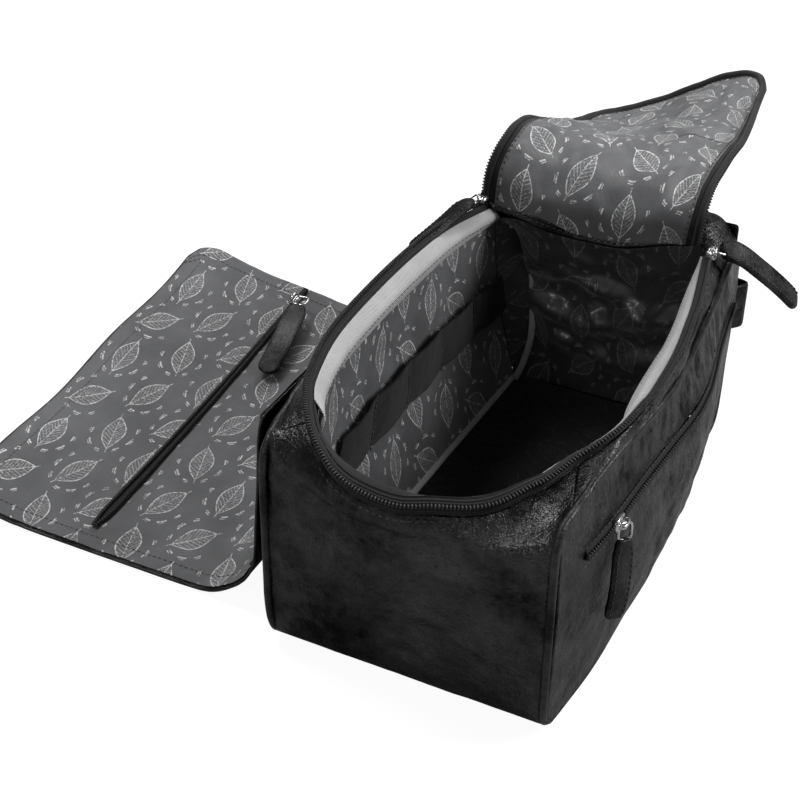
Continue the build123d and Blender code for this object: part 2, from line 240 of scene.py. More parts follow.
def lining_material(name, ground=(0.116, 0.118, 0.123), line=0.75, cell=0.029):
    """Satin with a woven half-drop motif of leaf sprays and dotted arcs."""
    made = Shader(name, 0.42, specular=0.5, sheen=0.15)
    u, v = sheet_place(made)
    column = u * (1 / cell)
    odd = (column * 0.5).fract().more(0.5)
    row = v * (0.8 / cell) + odd * 0.5
    flip = (row * 0.5).fract().more(0.5) * 2.0 - 1.0
    x, y = column.fract() - 0.5, row.fract() - 0.5
    turn = flip * 0.45 + odd * 0.35 + 0.1
    along = y * turn.cos() - x * turn.sin()
    across = x * turn.cos() + y * turn.sin()
    width = (along * math.pi * 1.3).cos() * 0.21
    inside = along.abs().less(0.38) * across.abs().less(width)
    edge = (across.abs() - width).abs().less(0.012) * along.abs().less(0.38)
    rib = across.abs().less(0.008) * along.abs().less(0.47)
    veins = ((along - across.abs() * 0.9) * 13.0).fract().less(0.2) * inside
    ring = (across * across + along * along).op("SQRT")
    sector = (along.op("ARCTAN2", across) * 9.0).sin()
    arcs = (ring - 0.43).abs().less(0.016) * sector.more(-0.2)
    arcs = arcs + (ring - 0.47).abs().less(0.008) * sector.more(0.5)
    arcs = arcs * along.less(0.1) * across.abs().more(0.12)
    seeds = inside * made.noise(1500, 1).more(0.58) * 0.35
    motif = edge
    for part in (rib, veins * 0.6, arcs * 0.9, seeds):
        motif = motif.op("MAXIMUM", part)
    worn = made.noise(700, 3).more(0.47) * 0.7 + made.noise(90, 2) * 0.6
    shine = (motif * worn).op("MINIMUM", 1.0)
    weft, _ = weave_value(made, 0.0007, 0.25)
    mixed = made.node("ShaderNodeMix")
    mixed.data_type = "RGBA"
    made.link(shine.socket, mixed.inputs["Factor"])
    shades = [(at, [part * c for c in ground]) for at, part in ((0.3, 0.75), (0.7, 1.2))]
    made.link(made.ramp(made.noise(35, 4) + weft * 0.05, shades), mixed.inputs["A"])
    mixed.inputs["B"].default_value = (line, line, line * 1.01, 1)
    made.colour(mixed.outputs["Result"])
    made.spread(shine, 0.46, 0.3, "Roughness")
    made.bumps((shine, 0.0001), (weft, 0.00005), (made.noise(60, 4), 0.0005))
    return made.material


def set_shader(material, **inputs):
    for socket, value in inputs.items():
        material.node_tree.nodes["Principled BSDF"].inputs[socket.replace("_", " ")].default_value = value


leather = leather_material("leather_black")
leather_edge = leather_material("leather_edge", 0.003, 0.25, 0.5, 0.0004)
leather_tab = leather_material("leather_tab", 0.003, 0.3, 0.6, 0.0004)
metal = metal_material("zip_metal")
coil_black = Shader("coil_black", 0.42, specular=0.5)
coil_black.colour(coil_black.ramp(coil_black.noise(800, 2), ((0.3, 0.012), (0.7, 0.03))))
coil_black.bumps((coil_black.noise(1500, 2), 0.00002))
coil = coil_black.material
tape_black = ribbed_material("tape_black", 0.006)
elastic_black = ribbed_material("elastic_black", 0.0012, 0.0009, 0.75)
set_shader(elastic_black, Specular_IOR_Level=0.1)
facing_grey = twill_material("facing_grey", 0.56)
lining_grey = lining_material("lining_grey")
# Painted shade: a darker copy of the grey lining for the far wall and the corner inside the bag
lining_painted_shade = lining_material("lining_painted_shade", (0.030, 0.031, 0.033), 0.24)
set_shader(lining_painted_shade, Specular_IOR_Level=1.0, Coat_Weight=0.5)
# Painted shade: a near-black copy of the grey lining for the floor inside the bag
lining_painted_deep_shade = lining_material("lining_painted_deep_shade", (0.003, 0.003, 0.003), 0.02)
set_shader(lining_painted_deep_shade, Specular_IOR_Level=0.08)
binding_grey = twill_material("binding_grey", 0.42, 0.0009)
thread = leather_material("thread_black", 0.035, 0.3, 0.4, 0.0)
thread_grey = twill_material("thread_grey", 0.16, 0.0008)


# Geometry helpers, all lengths in millimetres until a mesh is made
def resample(points, count):
    """Points evenly spaced along a line of points."""
    points = np.asarray(points, float)
    steps = np.r_[0, np.cumsum(np.linalg.norm(np.diff(points, axis=0), axis=1))]
    at = np.linspace(0, steps[-1], count)
    return np.stack([np.interp(at, steps, points[:, k]) for k in range(points.shape[1])], 1)


def spline(points, count):
    """A smooth curve through the points, sampled evenly along its length."""
    p = np.asarray(points, float)
    p = np.vstack([2 * p[0] - p[1], p, 2 * p[-1] - p[-2]])
    t = np.linspace(0, 1, 20, endpoint=False)[:, None]
    runs = [
        0.5 * (2 * b + (c - a) * t + (2 * a - 5 * b + 4 * c - d) * t ** 2 + (3 * b - a - 3 * c + d) * t ** 3)
        for a, b, c, d in zip(p, p[1:], p[2:], p[3:])
    ]
    return resample(np.vstack([*runs, p[-2:-1]]), count)


def length_of(points):
    return float(np.linalg.norm(np.diff(points, axis=0), axis=1).sum())


def unit(vectors):
    """Vectors made one long, also where they come as rows."""
    return vectors / np.linalg.norm(vectors, axis=-1, keepdims=True)


def normals_of(grid):
    du, dv = np.gradient(grid, axis=0), np.gradient(grid, axis=1)
    n = np.cross(du, dv)
    return n / np.maximum(np.linalg.norm(n, axis=2, keepdims=True), 1e-9)


def field(grid, scale, seed, octaves=3):
    """Smooth noise at every point of a grid."""
    flat = grid.reshape(-1, grid.shape[-1])
    start = Vector((seed, seed * 1.7, 0))
    values = [noise.fractal(Vector(p) / scale + start, 0.6, 2.0, octaves) for p in flat]
    return np.array(values).reshape(grid.shape[:2])


def ruffle(grid, amount, scale, seed, mask=1.0, octaves=3):
    """The grid pushed in and out by smooth noise."""
    shift = field(grid, scale, seed, octaves) * amount * mask
    return grid + normals_of(grid) * shift[..., None]


def between(first, second, count):
    """A grid of straight rows from each point of one line to its match on another."""
    return np.stack([resample(np.stack(pair), count) for pair in zip(first, second)])


def bowed(first, middle, second, count):
    """The same with rows that curve through a middle line."""
    return np.stack([spline(row, count) for row in zip(first, middle, second)])


def add(name, verts, faces, material, body, uv=None):
    """A mesh that rides on a body of the part, if one is named."""
    mesh = bpy.data.meshes.new(name)
    mesh.from_pydata((np.asarray(verts, float) / 1000).tolist(), [], faces)
    mesh.polygons.foreach_set("use_smooth", [True] * len(mesh.polygons))
    mesh.materials.append(material)
    if uv is not None:
        layer = mesh.uv_layers.new(name="UVMap")
        index = np.empty(len(mesh.loops), int)
        mesh.loops.foreach_get("vertex_index", index)
        layer.data.foreach_set("uv", np.asarray(uv, float)[index].ravel())
    made = bpy.data.objects.new(name, mesh)
    scene.collection.objects.link(made)
    if body:
        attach(made, body)
    return made


def smooth_once(made):
    """Subdivides a mesh once, in the view and in the render."""
    subdivide = made.modifiers.new("smooth", "SUBSURF")
    subdivide.levels = subdivide.render_levels = 1


def surface(name, grid, material, body, thick, uv=None, smooth=True, side=0):
    """A quad sheet through a grid of points: side 0 thickens it both ways, 1 and -1 one way."""
    rows, columns = grid.shape[:2]
    index = np.arange(rows * columns).reshape(rows, columns)
    faces = np.stack([index[:-1, :-1], index[1:, :-1], index[1:, 1:], index[:-1, 1:]], -1).reshape(-1, 4)
    if uv is None:
        u = np.r_[0, np.cumsum(np.linalg.norm(np.diff(grid, axis=0), axis=2).mean(1))]
        v = np.r_[0, np.cumsum(np.linalg.norm(np.diff(grid, axis=1), axis=2).mean(0))]
        uv = np.stack(np.meshgrid(u, v, indexing="ij"), -1)
    made = add(name, grid.reshape(-1, 3), faces.tolist(), material, body, uv.reshape(-1, 2) / 1000)
    solid = made.modifiers.new("thickness", "SOLIDIFY")
    solid.thickness, solid.offset = thick / 1000, side
    if smooth:
        smooth_once(made)
    return made


def cut_size(grid):
    """Width, length and area of a sheet in metres, measured along it."""
    wide = np.linalg.norm(np.diff(grid, axis=0), axis=2).sum(0).max() / 1000
    long = np.linalg.norm(np.diff(grid, axis=1), axis=2).sum(1).max() / 1000
    a, b = grid[1:, 1:] - grid[:-1, :-1], grid[1:, :-1] - grid[:-1, 1:]
    area = np.linalg.norm(np.cross(a, b), axis=2).sum() / 2e6
    return wide, long, min(area, wide * long)


def frames_along(path, up):
    """Tangent, side and up vectors at every point of a path."""
    tangent = unit(np.gradient(path, axis=0))
    up = np.broadcast_to(np.asarray(up, float), path.shape)
    side = np.cross(tangent, up)
    side /= np.maximum(np.linalg.norm(side, axis=1, keepdims=True), 1e-9)
    return tangent, side, np.cross(side, tangent)


def tube_faces(rows, n):
    """Quads between rows of n points, with both ends closed."""
    faces = [
        (i * n + j, i * n + (j + 1) % n, (i + 1) * n + (j + 1) % n, (i + 1) * n + j)
        for i in range(rows - 1) for j in range(n)
    ]
    return [*faces, tuple(range(n))[::-1], tuple((rows - 1) * n + j for j in range(n))]


def rounder(value, power):
    """Pushes a sine or cosine towards its ends, which squares off a circle."""
    return np.sign(value) * np.abs(value) ** power


def tube(name, path, radius, material, body, up=(0, 0, 1), squash=1.0, sides=10):
    _, side, top = frames_along(path, up)
    angle = np.linspace(0, 2 * np.pi, sides, endpoint=False)
    radius = np.broadcast_to(radius, len(path))[:, None, None]
    ring = np.cos(angle)[None, :, None] * side[:, None] + squash * np.sin(angle)[None, :, None] * top[:, None]
    grid = path[:, None] + radius * ring
    return add(name, grid.reshape(-1, 3), tube_faces(len(path), sides), material, body)


def bead_shape(size, rings=5, sides=8, power=0.7):
    """A rounded block: half sizes along, across and up."""
    verts, faces = [], []
    for i in range(rings + 1):
        a = math.pi * i / rings - math.pi / 2
        for j in range(sides):
            b = 2 * math.pi * j / sides
            raw = (math.sin(a), math.cos(a) * math.cos(b), math.cos(a) * math.sin(b))
            verts.append([math.copysign(abs(r) ** power, r) * s for r, s in zip(raw, size)])
    for i in range(rings):
        for j in range(sides):
            k = (j + 1) % sides
            faces.append((i * sides + j, i * sides + k, (i + 1) * sides + k, (i + 1) * sides + j))
    return np.array(verts), faces


def scatter(name, shape, pitch, path, up, material, body):
    """Copies of one small shape along a path at about the given pitch, as one mesh."""
    verts, faces = shape
    steps = max(2, int(length_of(path) / pitch))
    places = resample(path, steps)
    up = resample(up, steps) if np.ndim(up) > 1 else up
    every = places[:, None]
    for k, axis in enumerate(frames_along(places, up)):
        every = every + verts[None, :, k : k + 1] * axis[:, None]
    count = len(verts)
    all_faces = [tuple(v + k * count for v in f) for k in range(len(places)) for f in faces]
    return add(name, every.reshape(-1, 3), all_faces, material, body)


def coil_row(name, path, up, body, pitch=1.65, size=(0.5, 1.25, 0.9)):
    """A row of zip coil turns along the edge of a tape."""
    return scatter(name, bead_shape(size), pitch, path, up, coil, body)


def stitch_row(name, path, up, body, material=thread, pitch=3.2, long=1.05, thin=0.32):
    return scatter(name, bead_shape((long, thin, thin), 4, 6), pitch, path, up, material, body)


# The body's zip line and the wall below it
zip_points = [
    (-64, 92, 134), (-74, 61, 134), (-78, 26, 134), (-79, -16, 134), (-77, -60, 134), (-69, -96, 134),
    (-62, -112, 133), (-53, -126, 131), (-42, -137, 127), (-30, -144, 122), (-16, -146, 118), (0, -145, 116),
    (13, -139, 116), (29, -132, 116), (39, -124, 117), (48, -112, 120), (54, -104, 122), (60, -90, 125),
    (68, -80, 130), (74, -66, 133), (77, -45, 134), (78, -33, 134), (77, 0, 134), (74, 26, 134),
    (71, 47, 134), (65, 77, 134), (61, 95, 134),
]
low_points = [
    (-67.5, 97, 121), (-74, 61, 121), (-76.5, 26, 121), (-77, -16, 121), (-76.5, -60, 121), (-75, -96, 121),
    (-73, -115, 121), (-71, -132, 118), (-62, -138, 108), (-44, -139.5, 100), (-26, -140, 96),
    (-10, -140, 94), (5, -139.5, 94), (20, -139, 95), (36, -138.5, 98), (54, -137.5, 103),
    (66, -136, 109), (70.5, -131, 116), (71, -112, 119), (72.5, -90, 120), (74, -68, 121),
    (76, -45, 121), (78.6, -18, 121), (77.4, 12, 121),
    (74.6, 44, 121), (71.8, 75, 121), (68.6, 97, 121),
]
samples = 240
zip_line = spline(zip_points, samples)


def nearest(curve, points):
    """The index of the curve's sample nearest to each point."""
    return [int(np.argmin(np.linalg.norm(curve - np.asarray(q, float), axis=1))) for q in points]


def matched(points, keys, count, fine=2000):
    """Samples of a curve, with its points level with the keys of a curve of count samples."""
    full = spline(points, fine)
    at = np.interp(np.arange(count), nearest(spline(keys, count), keys), nearest(full, points))
    return np.stack([np.interp(at, np.arange(fine), full[:, k]) for k in range(3)], 1)


low_line = matched(low_points, zip_points, samples)

# Inward directions along the rim, and how far it dips at the near end: 0 to 1
flat_tangent = unit(np.gradient(zip_line, axis=0)[:, :2])
inward = np.c_[-flat_tangent[:, 1], flat_tangent[:, 0], np.zeros(samples)]
rim_height, dip_depth = 133, 16
droop = np.clip((rim_height - zip_line[:, 2]) / dip_depth, 0, 1)
tape_width = 3.6
crest = zip_line + inward * tape_width + np.c_[np.zeros((samples, 2)), 5.0 * droop - 2.8]
edge_line = zip_line - inward * (0.6 + 0.4 * droop)[:, None] - (0, 0, 3.2)
edge_line[:, 2] -= 1.5 * droop

# Leather collar between the wall's top and the tape, calm at its cut ends
collar_mid = (edge_line * 0.5 + low_line * 0.5) - inward * (1.2 + 1.5 * droop)[:, None]
collar_rows = 14
collar = bowed(low_line, collar_mid, edge_line, collar_rows)
near_end_y = -128
near_part = np.flatnonzero(low_line[:, 1] < near_end_y)
left_end, right_start = near_part[0] + 1, near_part[-1]
apart = np.minimum(np.abs(np.arange(samples) - left_end), np.abs(np.arange(samples) - right_start))
calm = np.clip(apart / 14, 0, 1)[:, None] * np.sin(np.linspace(0.1, np.pi - 0.1, collar_rows))[None]
collar = ruffle(collar, 1.3, 17, 3, calm * np.where(low_line[:, :1] < 0, 0.4, 1.0))
surface("collar_left", collar[:left_end], leather, "bag", 0.9, side=-1)
surface("collar_right", collar[right_start:], leather, "bag", 1.6, side=-1)
for word, row, way in (("left", collar[0], -1), ("right", collar[-1], 1)):
    ends = ((65, 134, 119.5), (63, 134, 122), (58, 133, 125))
    far_row = spline([(way * x, y, z) for x, y, z in ends], collar_rows)
    bridge = np.stack([row * (1 - t) + far_row * t for t in np.linspace(0, 1, 12)])
    surface(f"collar_end_{word}", bridge, leather, "bag", 1.0)

tape = np.stack([
    resample(np.stack(row), 5) for row in zip(edge_line + (0, 0, 0.4), zip_line, crest)
])
surface("zip_tape_body", tape, tape_black, "bag", 0.6, side=-1)
out_up = unit(zip_line - crest)
tape_face = unit(np.cross(np.gradient(zip_line, axis=0), out_up))
coil_row("zip_coil_body", zip_line + out_up * 0.4, tape_face, "bag")
stitch_row("stitch_collar", edge_line - (0, 0, 2.4) - inward * 0.9, -inward, "bag")
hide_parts("main_tape", "main_chain", "rim_facing", "shoulder_near")


# Outer walls
right_base = ([-136, -85, 35, 136], [69.5, 75, 75, 64.5])
right_middle = ([-136, -90, -30, 20, 60, 100, 136], [70.3, 79, 85, 86, 80, 72, 66])
right_pocket = (
    [-136, -106, -87, -58, -38, -16, 5, 25, 47, 63, 82, 99, 117, 136],
    [70.5, 75.6, 77.6, 78.7, 80.3, 82, 84.2, 84.4, 81.3, 77.6, 74.4, 72.2, 70, 66],
)
right_top_edge = (
    [-136, -120, -102, -88, -64, -41, -25, -7, 16, 45, 62, 88, 102, 136],
    [70.5, 70.3, 71, 72, 73.8, 76, 78.2, 78.4, 76.8, 74.4, 73, 69.8, 68, 65.5],
)
pocket_height, piping_height = 92.0, 121


def eased(y, table):
    """A table's value at y, averaged over a short run so that it bends smoothly."""
    return sum(np.interp(y + shift, *table) for shift in (-14, -7, 0, 7, 14)) / 5


def wall_x(y, z, side):
    y = np.asarray(y, float)
    if side < 0:
        base = np.interp(y, [-136.5, -85, 35, 136.5], [70, 76.5, 76.5, 65])
        height = np.clip(np.asarray(z) / piping_height, 0, 1)
        return -(base + 5.5 * np.sin(np.pi * height) * np.interp(y, [-136, -60, 20, 137], [0, 1, 1, 0]))
    knots = (3.0, 50.0, pocket_height, 120.0)
    total = 0.0
    for knot, table in zip(knots, (right_base, right_middle, right_pocket, right_top_edge)):
        weight = math.prod(((z - other) / (knot - other) for other in knots if other != knot), start=1.0)
        total = total + weight * eased(y, table)
    return total


def wall_patch(side, y_range, low, high, rows=90, columns=24):
    """A side wall between two height curves given as functions of y."""
    y = np.linspace(*y_range, rows)[:, None]
    t = np.linspace(0, 1, columns)[None]
    z = low(y) * (1 - t) + high(y) * t
    y = np.broadcast_to(y, z.shape)
    return np.stack([wall_x(y, z, side), y, z], -1)


def foot_z(y):
    """A wall's lower edge, lifted at both ends."""
    return 3.0 + 10.0 * np.clip((np.abs(y) - 123) / 12, 0, 1) ** 2


def top_z(y, height):
    """A wall's upper edge, cut down at the near corner."""
    return height - 7 * np.clip((-y - 126) / 9, 0, 1) ** 2


def slot(y):
    """Half the height of the pocket's slot, closed at both ends."""
    return 4.2 * np.sqrt(np.clip((y + 114) / 9, 0, 1) * np.clip((120 - y) / 9, 0, 1)) - 0.7


def soft_edges(shape, power=0.35):
    """A mask that falls to nothing at a grid's edges."""
    u = np.sin(np.linspace(0, np.pi, shape[0]))[:, None] ** power
    v = np.sin(np.linspace(0, np.pi, shape[1]))[None] ** power
    return u * v


wall_ends = (-135, 135)
low_right = wall_patch(1, wall_ends, foot_z, lambda y: pocket_height - slot(y), 150, 40)
low_right = ruffle(low_right, 2.2, 45, 11, soft_edges(low_right.shape, 0.8))
low_right = ruffle(low_right, 0.9, 15, 12, soft_edges(low_right.shape, 0.9))
surface("panel_right_low", low_right, leather, "bag", 1.6, side=1)
high_right = wall_patch(1, wall_ends, lambda y: pocket_height + slot(y), lambda y: top_z(y, 120), 160, 20)
high_right = ruffle(high_right, 1.6, 24, 21, soft_edges(high_right.shape, 0.9))
pleats = np.array([
    [noise.fractal(Vector((y / 9, z / 60, 4.0)), 0.6, 2.0, 3) for _, y, z in row] for row in high_right
])
high_right[..., 0] += 2.6 * pleats * soft_edges(high_right.shape, 0.9)
surface("panel_right_high", high_right, leather, "bag", 1.6, side=1)
left_wall = wall_patch(-1, wall_ends, foot_z, lambda y: top_z(y, 119), 90, 40)
left_wall[..., 0] += 3.0 * np.sin(np.pi * np.clip(left_wall[..., 2] / piping_height, 0, 1))
surface("panel_left", left_wall, leather, "bag", 1.6, side=-1)

near_rows = 110
near_low, near_mid, near_edge = (
    resample(line[near_part], near_rows) for line in (low_line, collar_mid, edge_line)
)
near_half = 70.0
front = []
for k, x in enumerate(near_low[:, 0] / np.abs(near_low[:, 0]).max() * near_half):
    curve = 1 - (x / near_half) ** 2
    foot = [(x * 0.985, -112, 0.9), (x * 0.985, -122, 1.0), (x * 0.99, -130, 2.6), (x, -135.2, 8)]
    face = [(x, -136.8 - 0.8 * curve, 20), (x, -137.2 - 2.4 * curve, 48), (x, -137.3 - 2.8 * curve, 76)]
    front.append(spline([*foot, *face, near_low[k], near_mid[k], near_edge[k]], 90))
front = np.stack(front)
front_mask = soft_edges(front.shape, 0.5) * np.clip((np.arange(90) - 12) / 16, 0, 1)[None]
for amount, scale, seed in ((2.4, 55, 31), (1.0, 16, 32)):
    front = ruffle(front, amount, scale, seed, front_mask)
front = ruffle(front, 1.3, 10, 34, front_mask * np.clip((np.arange(90) - 45) / 25, 0, 1)[None])
surface("gusset_near_soft", front, leather, "bag", 1.6, side=-1)
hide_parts("gusset_near")


def rows_across(ends_x, y_range, z, rows, columns=24):
    """A level grid of rows from wall to wall: ends_x gives a row's two ends at y."""
    return np.stack([
        np.stack([np.linspace(*ends_x(y), columns), np.full(columns, y), np.full(columns, z)], -1)
        for y in np.linspace(*y_range, rows)
    ])


under = rows_across(lambda y: (wall_x(y, 3.0, -1) + 1.0, wall_x(y, 3.0, 1) - 1.0), (-125, 134), 1.7, 50)
surface("base_soft", ruffle(under, 0.3, 40, 33, soft_edges(under.shape)), leather, "bag", 1.6, side=-1)
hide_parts("base_panel")
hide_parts("side_panel_left")
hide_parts("side_panel_right_lower", "pocket_backing")
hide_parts("side_panel_right_upper")

far_columns = 30
far_bulge = 2.5 * np.sin(np.pi * np.linspace(0, 1, far_columns))
far_heights = np.linspace(2, 131, far_columns)
far_grid = np.stack([
    np.stack([np.full(far_columns, x), 136.5 + far_bulge * math.cos(x / 45), far_heights], -1)
    for x in np.linspace(65, -64, 40)
])
far_grid = ruffle(far_grid, 1.2, 30, 41, soft_edges(far_grid.shape))
surface("gusset_far_soft", far_grid, leather, "bag", 1.6, side=-1)
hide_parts("gusset_far")

# The hood: the strip between the hinge line and the far end, falling towards both corners
hinge_line = spline([
    (-60, 92, 131), (-45, 95, 127), (-27, 98, 121.5), (0, 100, 120), (15, 102, 121), (36, 105, 126.5),
    (56, 106, 131),
], 60)
hood_half, hood_low = 65.5, 120.5
hood_y = ([-hood_half, -60, 0, 50, 58, hood_half], [88, 93, 101, 105, 101, 90])
hood_z = ([0, 15, 36, 56], [hood_low, 121.5, 127, 131.5])
hood_rows, fall_from = [], 0.72
for w in np.linspace(-1, 1, 70):
    over = np.clip((abs(w) - fall_from) / (1 - fall_from), 0, 1)
    x = hood_half * np.sign(w) * (abs(w) ** 0.9)
    start = np.array([x, np.interp(x, *hood_y), np.interp(abs(x), *hood_z)])
    end = np.array([x * (1 - 0.02 * over), 136.8 - 0.8 * over, 132.5])
    middle = (start + end) / 2 + (0, 0, 4.5 * (1 - over))
    row = spline((start, middle, end), 20)
    row[:, 2] -= 13.0 * over ** 2.0 * np.clip((np.arange(20) / 5.0), 0.35, 1)
    row[:, 2] = np.maximum(row[:, 2], hood_low)
    hood_rows.append(row)
hood = np.stack(hood_rows)
surface("hood", ruffle(hood, 1.0, 15, 51, soft_edges(hood.shape)), leather, "bag", 1.6, side=1)
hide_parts("far_top_panel", "hinge_binding")


# Piping
def piping(side, label):
    """The corded seam all round a side panel."""
    y = np.linspace(-120, 122, 60)
    low = [(wall_x(v, 3.0, side) - side * 0.5, v, 2.6) for v in y]
    far_x = side * 65.6
    far = [(far_x, 131, 4.5), (far_x, 135.4, 11)] + [(far_x, 136.8, z) for z in np.linspace(24, 106, 8)]
    far += [(far_x, 136.2, 115), (far_x, 132.5, 120.3)]
    top = [(wall_x(v, 120.0, side) + side * 0.7, v, 121 - 1.2 * (v < -100)) for v in y[::-1]]
    near_x = side * 70.6
    near = [(near_x, -130, 118.6), (near_x, -135.6, 113.5), (near_x, -137.4, 105)]
    near += [(near_x, -137.6, z) for z in np.linspace(92, 30, 7)]
    near += [(near_x * 0.995, -136.6, 17), (near_x * 0.99, -133.6, 8.5), (near_x * 0.995, -128, 3.8)]
    path = spline(low + far + top + near, 360)
    path = np.vstack([path, path[:2]])
    tube(label, path, 2.1, leather_edge, "bag", (0.3, 0.2, 1), sides=12)
    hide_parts(label.replace("_cord", ""))


piping(1, "piping_right_cord")
piping(-1, "piping_left_cord")


# Lining
left_top = spline([
    (-60, 96, 121), (-67, 55, 120.5), (-69, 10, 120.5), (-69.5, -30, 120.5), (-68, -70, 120),
    (-62, -100, 119), (-52, -118, 119),
], 90)
left_low = spline([
    (-54, 124, 5), (-56, 70, 5), (-57.5, 20, 5), (-58.5, -30, 5), (-59, -70, 5), (-57, -105, 5),
    (-48, -125, 5),
], 90)
left_mid = (left_top + left_low) / 2 + (-3.5, 0, 0)
left_lining = ruffle(bowed(left_top, left_mid, left_low, 40), 2.2, 30, 61, soft_edges((90, 40), 0.6))
surface("lining_left", left_lining, lining_grey, "bag", 0.5)

hinge_inner = hinge_line + (0, 1.0, -1.0)
far_low = spline([(-54, 125, 5), (-25, 127, 4.5), (0, 127, 4.5), (25, 127, 4.5), (54, 124, 5)], 60)
far_mid = (hinge_inner + far_low) / 2 + (0, 6.0, 6)
far_mid[:, 1] = np.maximum(far_mid[:, 1], 121)
far_lining = bowed(hinge_inner, far_mid, far_low, 50)
corner_seam = spline([
    (-60, 95, 121), (-55, 114, 113), (-52, 124, 104), (-49, 126, 85), (-47, 126.5, 60), (-46.5, 126.5, 37),
    (-50, 126, 18), (-54, 124, 5),
], 50)
# The far wall's first ten columns ease into the corner seam
toward = np.clip(1 - np.arange(60) / 10, 0, 1)[:, None, None] ** 1.5
far_lining = far_lining * (1 - toward) + corner_seam[None] * toward
far_mask = soft_edges((60, 50), 0.8)
far_lining = ruffle(far_lining, 9.0, 34, 62, far_mask, 2)
far_lining = ruffle(far_lining, 2.5, 13, 66, far_mask, 3)
for height, tilt, deep, thin in (
    (104, 0.10, 5.0, 5.0), (84, -0.16, 7.0, 7.0), (62, 0.12, 8.0, 8.0), (36, -0.1, 5.0, 7.0),
):
    crease_z = height + tilt * far_lining[..., 0] + 5.0 * np.sin(far_lining[..., 0] / 13 + height)
    far_lining[..., 1] -= deep * np.exp(-((far_lining[..., 2] - crease_z) / thin) ** 2) * far_mask
# The far wall wears the darker lining copy, painted shade
surface("lining_far", far_lining, lining_painted_shade, "bag", 0.5)

side_gap = between(spline(left_lining[0, ::3], 50), corner_seam, 6)
# The corner wears the darker lining copy too, painted shade
surface("lining_corner", side_gap, lining_painted_shade, "bag", 0.5)
tube("seam_corner", corner_seam[6:] + (2.0, -3.0, 0), 2.0, binding_grey, "bag", (0.5, -1, 0), 0.6)
floor_seam = spline([(-54, 123, 6), (-55.5, 70, 6), (-57, 20, 6), (-58, -30, 6), (-58, -70, 6)], 50)
tube("seam_floor", floor_seam, 2.2, binding_grey, "bag", (0.6, 0, 1), 0.5)

right_top = spline([
    (54.7, 101, 123), (57.1, 79, 124), (59.5, 59, 124), (62.5, 37, 124), (64.6, 15, 124), (64.8, 0, 124),
    (65.3, -24, 124), (67, -44, 124.5), (69, -58, 124), (66, -72, 122), (58, -88, 119), (46, -108, 115),
], 120)
right_low = spline([
    (54, 124, 5), (56, 70, 5), (58, 20, 5), (59, -30, 5), (59, -70, 5), (56, -105, 5), (48, -125, 5),
], 120)
right_mid = (right_top + right_low) / 2 + (7, 0, 22)
right_lining = ruffle(bowed(right_low, right_mid, right_top, 30), 2.0, 30, 63, soft_edges((120, 30), 0.6))
surface("lining_right", right_lining, lining_grey, "bag", 0.5)

near_top = spline([
    (-52, -118, 119), (-40, -129, 119), (-20, -135, 118), (0, -136, 117), (18, -131, 116), (34, -120, 116),
    (46, -108, 115),
], 50)
near_low = spline([(-48, -125, 5), (-20, -128, 4.5), (0, -128, 4.5), (20, -128, 4.5), (48, -125, 5)], 50)
near_lining = between(near_low, near_top, 24)
near_soft = ruffle(near_lining, 2, 30, 64, soft_edges((50, 24)))
surface("lining_near", near_soft, lining_grey, "bag", 0.5)

floor_grid = rows_across(lambda y: (-57, 57), (-127, 126), 4.5, 40)
floor_soft = ruffle(floor_grid, 1.2, 30, 65, soft_edges((40, 24)))
# The floor wears the near-black lining copy, painted deep shade
surface("lining_bottom", floor_soft, lining_painted_deep_shade, "bag", 0.5)
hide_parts("lining_tub", "binding_far_left", "binding_floor_left")
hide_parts("lining_far_upper")
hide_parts("lining_floor", "base_stiffener")

# Facings between the tape and the lining
rim_x, rim_y = zip_line[:, 0], zip_line[:, 1]
left_crest = resample(crest[(rim_x < 0) & (rim_y > -112)], 90)
left_facing = bowed(
    left_crest + (0.2, 0, 0.3), (left_crest + left_top) / 2 + (4.2, 0, 0.8), left_top + (0.6, 0, 0), 12
)
surface("facing_left", left_facing, facing_grey, "bag", 0.8)
facing_stitches = left_facing[3:-3, 7] + (0.6, 0, 0.1)
stitch_row("stitch_facing_left", facing_stitches, (1, 0, 0.3), "bag", thread_grey)
right_crest = resample(crest[(rim_x > 0) & (rim_y > -108)], 120)[::-1]
right_facing = bowed(
    right_crest - (0, 0, 0.8), (right_crest + right_top) / 2 + (0, 0, 1.6), right_top, 12
)
surface("facing_right", right_facing, facing_grey, "bag", 0.8)
stitch_row("stitch_facing_right", right_facing[4:70, 9] + (0, 0, 0.6), (0, 0, 1), "bag", thread_grey)
near_facing = between(resample(crest[rim_y < -104], 50), near_top, 5)
surface("facing_near", near_facing, tape_black, "bag", 0.6)


# Elastic bands: five loops on the left wall, three on the right one
def elastic_left(count=150, loops=5):
    top = spline([(-58, 104, 84), (-62, 33, 88), (-64.5, -32, 87), (-65, -73, 84)], count)
    low = spline([(-57, 112, 59), (-60.5, 54, 62), (-61.5, -2, 63), (-62, -55, 63), (-62, -90, 61)], count)
    grid = between(top, low, 14)
    grid[..., 0] += 0.6 + 2.2 * np.abs(np.sin(np.pi * loops * np.linspace(0, 1, count)))[:, None]
    made = surface("elastic_left_soft", ruffle(grid, 0.5, 14, 81), elastic_black, "bag", 0.8)
    for k in range(1, loops):
        row = grid[count * k // loops] + (0.8, 0, 0)
        stitch_row(f"stitch_elastic_{k}", row, (1, 0, 0), "bag", pitch=2.4)
    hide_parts("elastic_band_left")


def elastic_right(steps=80, loops=3, columns=10):
    y = -80 + 114 * np.arange(steps + 1) / steps
    x = 61 - 2.5 * np.abs(np.sin(np.pi * loops * np.arange(steps + 1) / steps))
    grid = between(np.c_[x, y, np.full(steps + 1, 66.0)], np.c_[x, y, np.full(steps + 1, 100.0)], columns)
    made = surface("elastic_right_soft", grid, elastic_black, "bag", 0.8)
    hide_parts("elastic_band_right")


elastic_left()
elastic_right()


